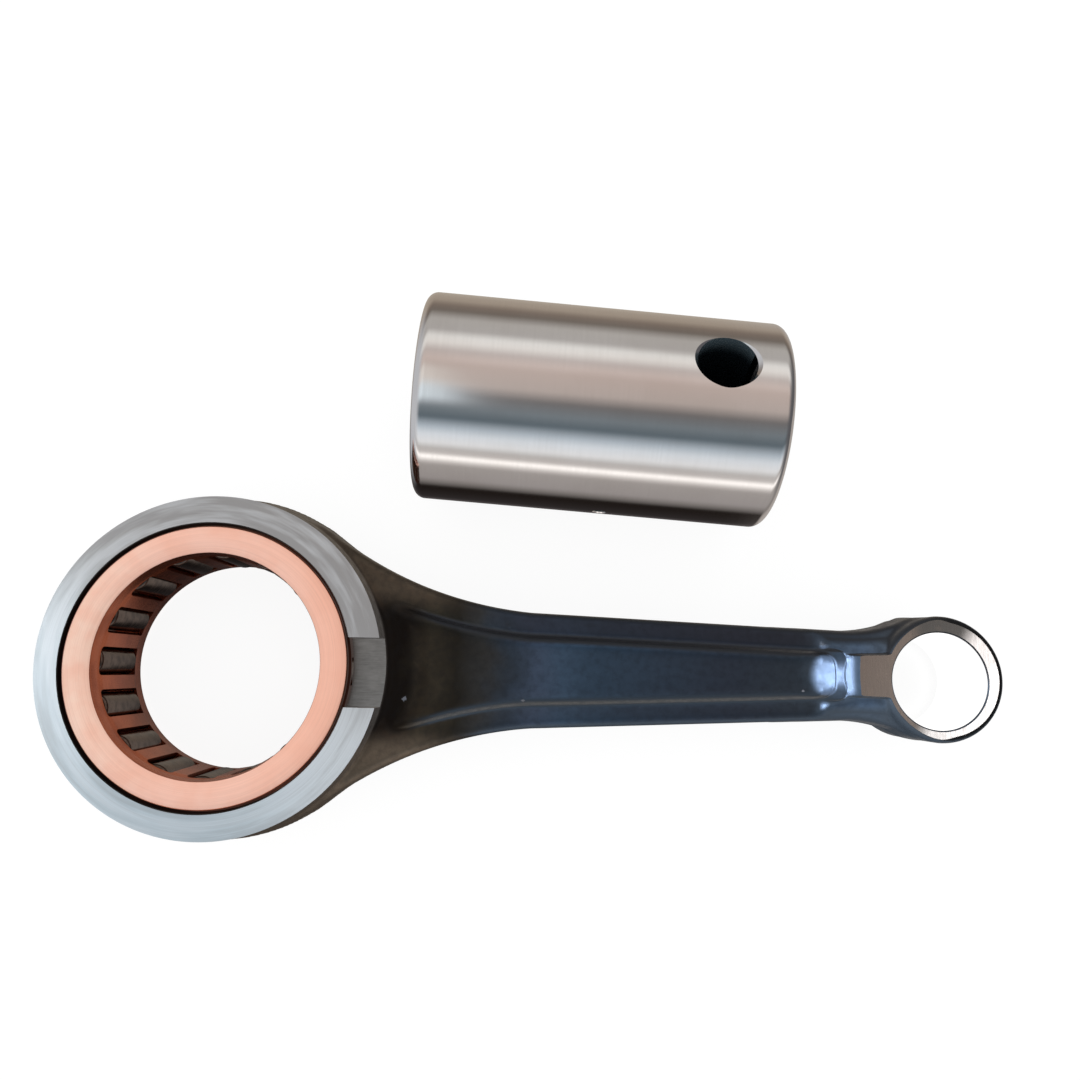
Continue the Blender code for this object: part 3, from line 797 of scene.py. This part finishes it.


# ---- Materials -------------------------------------------------------------------------
# Tints of the forging along the rod, as (millimetres from the big-end centre, colour), and
# how strongly they show. Besides the oxide's own colour they hold painted reflections: the
# warm brown near the flare, the lighter blue along the web near 46 to 56 mm, and the bright
# blue highlight at the neck near 93 to 97 mm. The oxide is a matt skin, only half metallic
# and hardly shiny.
FORGING_STRENGTH = 0.62
FORGING_METALLIC = 0.5
FORGING_SPECULAR = 0.08
FORGING_TINTS = (
    (26, (0.020, 0.015, 0.012)), (30, (0.054, 0.045, 0.032)), (34, (0.026, 0.023, 0.018)),
    (38, (0.046, 0.047, 0.048)), (42, (0.042, 0.058, 0.082)), (46, (0.074, 0.107, 0.170)),
    (50, (0.066, 0.112, 0.180)), (56, (0.047, 0.080, 0.127)), (64, (0.045, 0.068, 0.105)),
    (76, (0.041, 0.054, 0.080)), (86, (0.045, 0.060, 0.080)), (93, (0.110, 0.165, 0.255)),
    (97, (0.110, 0.150, 0.210)), (101, (0.080, 0.079, 0.074)), (106, (0.016, 0.016, 0.017)))


def forged_look(t):
    """Black-oxide forging. Its colour holds painted reflections: brown at the flare, navy and blue
    along the shank, a bright blue highlight at the pocket's far end; painted light on the pocket's
    walls; and nicked edges that are partly painted glints.
    """
    mm = t.mm()
    x, y, _ = t.parts(mm)
    facing_x, _, facing_z = t.parts(t.add("ShaderNodeNewGeometry").outputs["Normal"])
    start, end = FORGING_TINTS[0][0], FORGING_TINTS[-1][0]
    cloud = t.noise(mm, 0.16, 3.0)
    mottle = t.noise(mm, 0.9, 5.0)
    grain = t.noise(mm, 5.0, 6.0, 0.65)
    along = t.math("ADD", x, t.math("MULTIPLY", t.math("SUBTRACT", cloud, 0.5), 8.0))
    tint = t.ramp(t.line(along, start, end),
                  [((at - start) / (end - start), colour) for at, colour in FORGING_TINTS])
    away = t.math("ABSOLUTE", y)
    # The flange tops along the shank get a darker grey in place of the web's painted blue
    # reflection, more fully on the +Y side: painted shade.
    on_flange = t.math("MULTIPLY", t.span(away, 3.9, 4.9), t.span(y, -3.0, 3.0, 0.3, 0.75))
    on_shank = t.math("MULTIPLY", t.span(x, 38.0, 46.0), t.span(x, 90.0, 84.0))
    tint = t.mix(t.math("MULTIPLY", on_flange, on_shank), tint, (0.030, 0.031, 0.042))
    # Painted reflection: the flare's sides turn brown, lighter on the -Y side.
    on_flare = t.math("MULTIPLY", t.span(away, 8.0, 12.0), t.span(x, 42.0, 28.0))
    side_reflection = t.mix(t.span(y, 6.0, -6.0), (0.115, 0.088, 0.064), (0.20, 0.155, 0.115))
    tint = t.mix(on_flare, tint, side_reflection)
    tint = t.mix(t.span(mottle, 0.35, 0.75, 0.0, 0.3), tint, (0.016, 0.016, 0.019))
    # Painted light on the pocket's steep walls, which would otherwise show as dark lines in shade;
    # lighter and bluer on the -Y side, a painted highlight along that edge.
    in_pocket = t.math("MULTIPLY", t.span(away, 9.5, 8.5), t.span(x, 27.0, 32.0))
    wall = t.math("MULTIPLY", t.span(t.math("ABSOLUTE", facing_z), 0.95, 0.6), in_pocket)
    wall_painted_light = t.mix(t.span(y, 1.0, -1.0), (0.045, 0.050, 0.060), (0.085, 0.115, 0.155))
    tint = t.mix(wall, tint, wall_painted_light)
    # Nicked edges where bare steel shows, partly painted glints: pale grey on sharp edges short of
    # the neck.
    chips_and_glints = t.math("MULTIPLY", t.worn_edge(0.52, 0.58), t.span(t.noise(mm, 0.55, 4.0), 0.54, 0.62))
    tint = t.mix(t.math("MULTIPLY", chips_and_glints, t.span(x, 89.0, 86.0)), tint, (0.34, 0.36, 0.42))
    # Painted highlight: bright blue on the surfaces facing -X where the pocket runs out at its far
    # end.
    near_end = t.math("MULTIPLY", t.span(x, 82.0, 84.0), t.span(x, 93.0, 92.0))
    ramp_highlight = t.math("MULTIPLY", t.span(facing_x, -0.4, -0.68), t.span(away, 5.0, 4.2))
    tint = t.mix(t.math("MULTIPLY", ramp_highlight, near_end), tint, (0.20, 0.29, 0.46))
    rough = t.span(mottle, 0.3, 0.7, 0.28, 0.42)
    normal = t.bump(grain, 0.35, 0.05)
    normal = t.bump(t.noise(mm, 0.45, 2.0), 0.2, 0.1, normal)
    t.metal(t.vector("SCALE", tint, scale=FORGING_STRENGTH), rough, normal,
            metallic=FORGING_METALLIC, specular=FORGING_SPECULAR)


def turned_look(colour, roughness, groove):
    """A face turned on the lathe: fine grooves round the axis, faint handling marks."""
    def build(t):
        mm = t.mm()
        lines = t.noise(t.grooves(mm, groove), 1.0, 5.0, 0.7)
        cloud = t.noise(mm, 0.18, 3.0)
        shade = t.mix(t.span(lines, 0.3, 0.7, 0.0, 0.22), colour, [c * 0.55 for c in colour])
        shade = t.mix(t.span(cloud, 0.4, 0.7, 0.0, 0.3), shade, [c * 0.75 for c in colour])
        rough = t.span(lines, 0.3, 0.7, roughness - 0.05, roughness + 0.07)
        t.metal(shade, rough, t.bump(lines, 0.12, 0.03), 0.45, t.outward(mm))
    return build


def thrust_look(t):
    """The big end's turned face. Its colour holds painted reflections: a cool grey that brightens
    towards +X, a darker, warmer grey towards +Y, and light and dark sweeps round the axis.
    """
    mm = t.mm()
    x, y, _ = t.parts(mm)
    lines = t.noise(t.grooves(mm, 7.0), 1.0, 5.0, 0.7)
    sweep = t.noise(t.grooves(mm, 0.7, 1.7), 1.0, 3.0)
    # Painted reflections: a darker, warmer grey towards +Y, and a cool grey that brightens towards
    # +X.
    side_reflection = t.span(t.math("ADD", y, t.math("MULTIPLY", x, 0.35)), -6.0, 14.0)
    polished = t.mix(t.span(x, 0.0, 18.0), (0.50, 0.56, 0.60), (0.72, 0.77, 0.81))
    shade = t.mix(side_reflection, polished, (0.32, 0.32, 0.325))
    # Painted reflections: light and dark sweeps round the axis.
    shade = t.mix(t.span(sweep, 0.42, 0.68, 0.0, 0.5), shade, (0.66, 0.70, 0.74))
    shade = t.mix(t.span(sweep, 0.50, 0.30, 0.0, 0.35), shade, (0.33, 0.34, 0.35))
    shade = t.mix(t.span(lines, 0.35, 0.7, 0.0, 0.22), shade, (0.28, 0.29, 0.30))
    rough = t.span(lines, 0.3, 0.7, 0.30, 0.42)
    t.metal(shade, rough, t.bump(lines, 0.14, 0.03), 0.35, t.outward(mm))


def small_face_look(t):
    """The small end's milled face. Its colour holds painted light: a near-white highlight on the
    side away from the neck, and painted shade elsewhere, brownish towards the neck as a painted
    reflection.
    """
    mm = t.mm()
    x = t.parts(mm)[0]
    angle = t.around(mm, (SMALL_X, 0.0))[1]
    lines = t.noise(t.vector("MULTIPLY", mm, (5.0, 0.4, 1.0)), 1.0, 5.0, 0.7)
    cloud = t.noise(mm, 0.6, 4.0)
    turn = t.math("ABSOLUTE", t.math("ADD", angle, math.radians(28.0)))
    # Painted shade outside the highlight: brownish grey near the neck, darker grey further on;
    # then the near-white painted highlight on the far side.
    shaded_tone = t.mix(t.span(x, 99.5, 102.5), (0.23, 0.20, 0.18), (0.115, 0.115, 0.112))
    shade = t.mix(t.span(turn, math.radians(95.0), math.radians(72.0)), shaded_tone, (0.97, 0.97, 0.97))
    shade = t.mix(t.span(cloud, 0.5, 0.8, 0.0, 0.22), shade, (0.34, 0.27, 0.22))
    shade = t.mix(t.span(lines, 0.35, 0.75, 0.0, 0.12), shade, (0.14, 0.13, 0.125))
    t.metal(shade, t.span(lines, 0.3, 0.7, 0.24, 0.34), t.bump(lines, 0.12, 0.03))


def small_bore_look(t):
    """The small end's reamed bore.

    The table isn't seen in reflections, so at a glancing angle a white glow stands for it.
    """
    mm = t.mm()
    lines = t.noise(t.vector("MULTIPLY", mm, (0.4, 0.4, 6.0)), 1.0, 5.0, 0.7)
    shade = t.mix(t.span(lines, 0.3, 0.7, 0.0, 0.35), (0.62, 0.61, 0.60), (0.34, 0.33, 0.32))
    here = t.add("ShaderNodeNewGeometry").outputs
    facing = t.math("ABSOLUTE", t.vector("DOT_PRODUCT", here["Incoming"], here["Normal"]))
    t.metal(shade, t.span(lines, 0.3, 0.7, 0.24, 0.36), t.bump(lines, 0.15, 0.03),
            glow=t.span(facing, 0.66, 0.46, 0.0, 1.0))


def oil_hole_look(t):
    """A drilled oil hole, painted bluish and lighter near its mouth and black further in: painted
    light and shade.
    """
    mm = t.mm()
    radius = t.around(mm)[0]
    lines = t.noise(mm, 4.0, 5.0, 0.7)
    # Painted light near the hole's mouth, painted shade deeper in.
    shade = t.mix(t.span(radius, 12.0, 15.0), (0.004, 0.007, 0.010), (0.10, 0.14, 0.165))
    shade = t.mix(t.span(lines, 0.35, 0.7, 0.0, 0.4), shade, (0.02, 0.03, 0.035))
    t.metal(shade, t.span(lines, 0.3, 0.7, 0.2, 0.32), t.bump(lines, 0.2, 0.03), metallic=0.4)


def big_bore_look(t):
    """The big end's ground bore, painted near-black: painted shade for the narrow gap round the
    cage.
    """
    mm = t.mm()
    lines = t.noise(t.vector("MULTIPLY", mm, (0.4, 0.4, 6.0)), 1.0, 5.0, 0.7)
    # Painted shade: near-black all over.
    shade = t.mix(t.span(lines, 0.3, 0.7), (0.045, 0.042, 0.04), (0.02, 0.019, 0.018))
    t.metal(shade, t.span(lines, 0.3, 0.7, 0.4, 0.52), t.bump(lines, 0.15, 0.03))


def milled_look(colour, roughness, lay):
    """A milled or surface-ground flat: straight lines across lay."""
    def build(t):
        mm = t.mm()
        lines = t.noise(t.vector("MULTIPLY", mm, lay), 1.0, 5.0, 0.7)
        cloud = t.noise(mm, 0.5, 4.0)
        shade = t.mix(t.span(lines, 0.3, 0.7, 0.0, 0.5), colour, [c * 0.6 for c in colour])
        shade = t.mix(t.span(cloud, 0.4, 0.7, 0.0, 0.35), shade, [c * 1.3 for c in colour])
        t.metal(shade, t.span(lines, 0.3, 0.7, roughness - 0.06, roughness + 0.08),
                t.bump(lines, 0.2, 0.03))
    return build


def copper_look(colour, dark, roughness, groove, tone=0.0, metallic=1.0):
    """Satin copper plate, tarnished in cloudy patches.

    With tone, it is paler towards -X and redder towards +X.
    """
    def build(t):
        mm = t.mm()
        x = t.parts(mm)[0]
        lines = t.noise(t.grooves(mm, groove), 1.0, 4.0, 0.6)
        matte = t.noise(mm, 9.0, 5.0, 0.7)
        cloud = t.noise(mm, 0.22, 4.0)
        base = t.mix(t.span(x, -6.0, -18.0, 0.0, tone), colour, (1.0, 0.76, 0.62))
        base = t.mix(t.span(x, 6.0, 17.0, 0.0, tone), base, (0.96, 0.50, 0.36))
        shade = t.mix(t.span(cloud, 0.35, 0.7, 0.0, 0.6), base, dark)
        shade = t.mix(t.span(lines, 0.35, 0.7, 0.0, 0.18), shade, [c * 0.6 for c in dark])
        normal = t.bump(matte, 0.25, 0.02)
        normal = t.bump(lines, 0.12, 0.03, normal)
        t.metal(shade, t.span(matte, 0.3, 0.7, roughness - 0.06, roughness + 0.08), normal,
                metallic=metallic)
    return build


def ground_look(t):
    """Ground and polished steel: grinding lines round the axis, which smear light along it."""
    mm = t.mm()
    fine = t.noise(t.grooves(mm, 11.0, 2.0), 1.0, 6.0, 0.75)
    cloud = t.noise(mm, 0.10, 3.0)
    shade = t.mix(t.span(fine, 0.3, 0.7, 0.0, 0.2), (0.72, 0.70, 0.69), (0.52, 0.50, 0.49))
    shade = t.mix(t.span(cloud, 0.4, 0.7, 0.0, 0.2), shade, (0.56, 0.52, 0.49))
    t.metal(shade, t.span(fine, 0.3, 0.7, 0.11, 0.14), t.bump(fine, 0.03, 0.004),
            0.3, t.lengthwise())


def needle_look(t):
    """Polished bearing steel, dark and brownish, darker in blotches."""
    mm = t.mm()
    lines = t.noise(t.grooves(mm, 9.0), 1.0, 5.0)
    blotches = t.noise(mm, 0.8, 3.0)
    shade = t.mix(t.span(blotches, 0.35, 0.7), (0.15, 0.11, 0.09), (0.065, 0.045, 0.036))
    t.metal(shade, t.span(lines, 0.3, 0.7, 0.16, 0.28), t.bump(lines, 0.06, 0.01), 0.4,
            t.lengthwise())


def make_looks():
    return {
        "forged": material("black_oxide_forging", forged_look),
        "thrust_face": material("turned_thrust_face", thrust_look),
        "bore": material("ground_big_bore", big_bore_look),
        "slot": material("milled_slot", milled_look((0.24, 0.24, 0.235), 0.42, (0.5, 4.0, 1.0))),
        "small_face": material("milled_small_end", small_face_look),
        "small_bore": material("reamed_small_bore", small_bore_look),
        "copper_face": material("copper_plate_face", copper_look(
            (0.99, 0.60, 0.48), (0.95, 0.50, 0.37), 0.40, 6.0, 0.6, 0.55)),
        # Painted shade: the cage's inside is a darker, redder copy of its copper face, and its
        # outside, which sits in the big end's bore, a near-black one.
        "copper_inside": material("copper_plate_inside", copper_look(
            (0.54, 0.155, 0.075), (0.26, 0.06, 0.03), 0.28, 3.0)),
        "copper_outside": material("copper_plate_outside", copper_look(
            (0.10, 0.035, 0.022), (0.03, 0.012, 0.009), 0.42, 5.0)),
        "needle": material("needle_steel", needle_look),
        "ground": material("ground_steel", ground_look),
        "pin_end": material("turned_pin_end", turned_look((0.58, 0.57, 0.56), 0.3, 5.0)),
        "oil_hole": material("drilled_hole", oil_hole_look),
        "plug": material("turned_plug", turned_look((0.42, 0.42, 0.43), 0.32, 6.0)),
    }


# ---- Studio ----------------------------------------------------------------------------
CAMERA_FROM_BIG_END = Vector((41.474, 0.171, 139.540)) * MM
CAMERA_TURN = tuple(math.radians(a) for a in (8.106, -2.244, 1.239))
CAMERA_LENS = 30.58
SURROUND_LIGHT = 1.12              # the plain white surround, for all but polished metal
OVERHEAD_COOL = (0.94, 1.06, 1.14)
OVERHEAD_WARM = (0.96, 0.91, 0.86)
LEFT_SIDE = (0.66, 0.68, 0.72)
RIGHT_SIDE = (0.13, 0.13, 0.14)
THROUGH_BORE = (0.50, 0.46, 0.43)
FLOOR_HALF_WIDTH = 2500.0
FLOOR_DEPTH = 20.0
FLOOR_GLOW = 0.85                  # share of the pale table that is lit from within,
FLOOR_LIGHT = 1.05                 # and how brightly

# What polished metal sees at each angle round the X axis, as (degrees from straight up
# towards +Y, colour): soft strips and the gaps between them.
STRIPS = (
    (-180, (0.10, 0.09, 0.09)), (-166, (0.035, 0.03, 0.03)), (-133, (0.014, 0.010, 0.008)),
    (-124, (0.25, 0.23, 0.22)), (-116, (0.42, 0.39, 0.38)), (-95, (0.46, 0.43, 0.41)),
    (-90, (0.80, 0.76, 0.73)), (-84, (1.70, 1.65, 1.60)), (-79, (0.70, 0.66, 0.64)),
    (-73, (0.64, 0.62, 0.60)), (-66, (1.02, 1.04, 1.06)), (-56, (0.90, 0.97, 1.04)),
    (-48, (0.58, 0.67, 0.75)), (-37, (0.12, 0.16, 0.19)), (-26, (0.22, 0.26, 0.29)),
    (-12, (0.20, 0.19, 0.19)), (0, (0.60, 0.52, 0.48)), (20, (0.66, 0.55, 0.50)),
    (27, (0.78, 0.66, 0.61)), (36, (0.68, 0.61, 0.58)), (46, (1.02, 0.99, 0.95)),
    (53, (1.00, 0.99, 0.96)), (62, (0.54, 0.52, 0.50)), (78, (0.55, 0.53, 0.50)),
    (92, (0.21, 0.18, 0.155)), (103, (0.26, 0.21, 0.175)), (116, (0.44, 0.37, 0.30)),
    (150, (0.48, 0.42, 0.35)), (174, (0.13, 0.12, 0.11)), (180, (0.10, 0.09, 0.09)))


def build_world():
    """A plain white surround. Only reflections see the strips, windows and sides in it."""
    world = bpy.data.worlds.new("studio")
    bpy.context.scene.world = world
    t = Tree(world)
    x, y, z = t.parts(t.add("ShaderNodeTexCoord").outputs["Generated"])
    turn = t.math("DIVIDE", t.math("ARCTAN2", y, z), 2.0 * math.pi)
    strips = t.ramp(t.math("ADD", turn, 0.5),
                    [(degrees / 360.0 + 0.5, colour) for degrees, colour in STRIPS])
    from_top = t.math("ABSOLUTE", turn)
    overhead = t.mix(t.span(turn, -0.02, 0.02), OVERHEAD_COOL, OVERHEAD_WARM)
    to_left = t.math("MULTIPLY", t.span(x, -0.12, -0.17), t.span(from_top, 0.075, 0.035))
    strips = t.mix(to_left, strips, overhead)
    strips = t.mix(t.span(x, -0.40, -0.95), strips, LEFT_SIDE)
    strips = t.mix(t.span(x, 0.5, 0.95), strips, RIGHT_SIDE)
    through_bore = t.math("MULTIPLY", t.span(x, 0.22, 0.38), t.span(from_top, 0.3, 0.42))
    strips = t.mix(through_bore, strips, THROUGH_BORE)
    seen = t.add("ShaderNodeBackground", {0: strips, 1: 1.0}).outputs[0]
    white = {0: (1.0, 1.0, 1.0, 1.0), 1: SURROUND_LIGHT}
    plain = t.add("ShaderNodeBackground", white).outputs[0]
    glossy = t.add("ShaderNodeLightPath").outputs["Is Glossy Ray"]
    both = t.add("ShaderNodeMixShader", {0: glossy, 1: plain, 2: seen}).outputs[0]
    t.links.new(both, t.add("ShaderNodeOutputWorld").inputs[0])


def softbox(name, place, target, size, radiance, receivers):
    """A rectangular lamp that lights only the objects in the receivers collection."""
    light = bpy.data.lights.new(name, "AREA")
    light.shape = "RECTANGLE"
    light.size, light.size_y = size
    light.energy = radiance * math.pi * size[0] * size[1]
    lamp = bpy.data.objects.new(name, light)
    bpy.context.scene.collection.objects.link(lamp)
    lamp.location = place
    lamp.rotation_euler = (Vector(target) - Vector(place)).to_track_quat("-Z", "Y").to_euler()
    lamp.light_linking.receiver_collection = receivers


def light_rod(rod):
    """Two lamps for the forging: one low to the left, one mirrored in the small end's face.

    The rod isn't seen in reflections, so the polished pin doesn't mirror it.
    """
    receivers = bpy.data.collections.new("lit_forging")
    receivers.objects.link(rod)
    rod.visible_glossy = False
    softbox("side_softbox", place=(-0.45, -0.02, 0.13), target=(0.03, -0.02, 0.0),
            size=(0.34, 0.34), radiance=9.5, receivers=receivers)
    softbox("end_softbox", place=(0.216, -0.030, 0.280), target=(0.065, -0.0155, 0.0175),
            size=(0.05, 0.055), radiance=3.2, receivers=receivers)


def build_floor():
    floor = block("floor", (-FLOOR_HALF_WIDTH, -FLOOR_HALF_WIDTH, -FLOOR_DEPTH),
                  (FLOOR_HALF_WIDTH, FLOOR_HALF_WIDTH, 0.0))

    def pale(t):
        shade = t.mix(t.span(t.noise(t.mm(), 0.01, 2.0), 0.3, 0.7), (0.90, 0.90, 0.90),
                      (0.915, 0.915, 0.915))
        matte = t.add("ShaderNodeBsdfDiffuse", {0: shade}).outputs[0]
        glow = t.add("ShaderNodeEmission", {0: (1.0, 1.0, 1.0, 1.0), 1: FLOOR_LIGHT}).outputs[0]
        shader = t.add("ShaderNodeMixShader", {0: FLOOR_GLOW, 1: matte, 2: glow}).outputs[0]
        t.links.new(shader, t.add("ShaderNodeOutputMaterial").inputs[0])

    floor.data.materials.append(material("pale_floor", pale))
    floor.visible_glossy = False


def build_camera():
    data = bpy.data.cameras.new("camera")
    data.sensor_width = 36.0
    data.lens = CAMERA_LENS
    data.clip_start, data.clip_end = 0.005, 10.0
    camera = bpy.data.objects.new("camera", data)
    bpy.context.scene.collection.objects.link(camera)
    camera.location = BIG_END + CAMERA_FROM_BIG_END
    camera.rotation_euler = CAMERA_TURN
    bpy.context.scene.camera = camera


def main():
    looks = make_looks()
    light_rod(build_rod(looks))
    build_cage(looks)
    build_needles(looks)
    build_crank_pin(looks)
    build_plug(looks)
    build_world()
    build_floor()
    build_camera()
    bpy.context.scene.view_settings.view_transform = "Standard"


main()
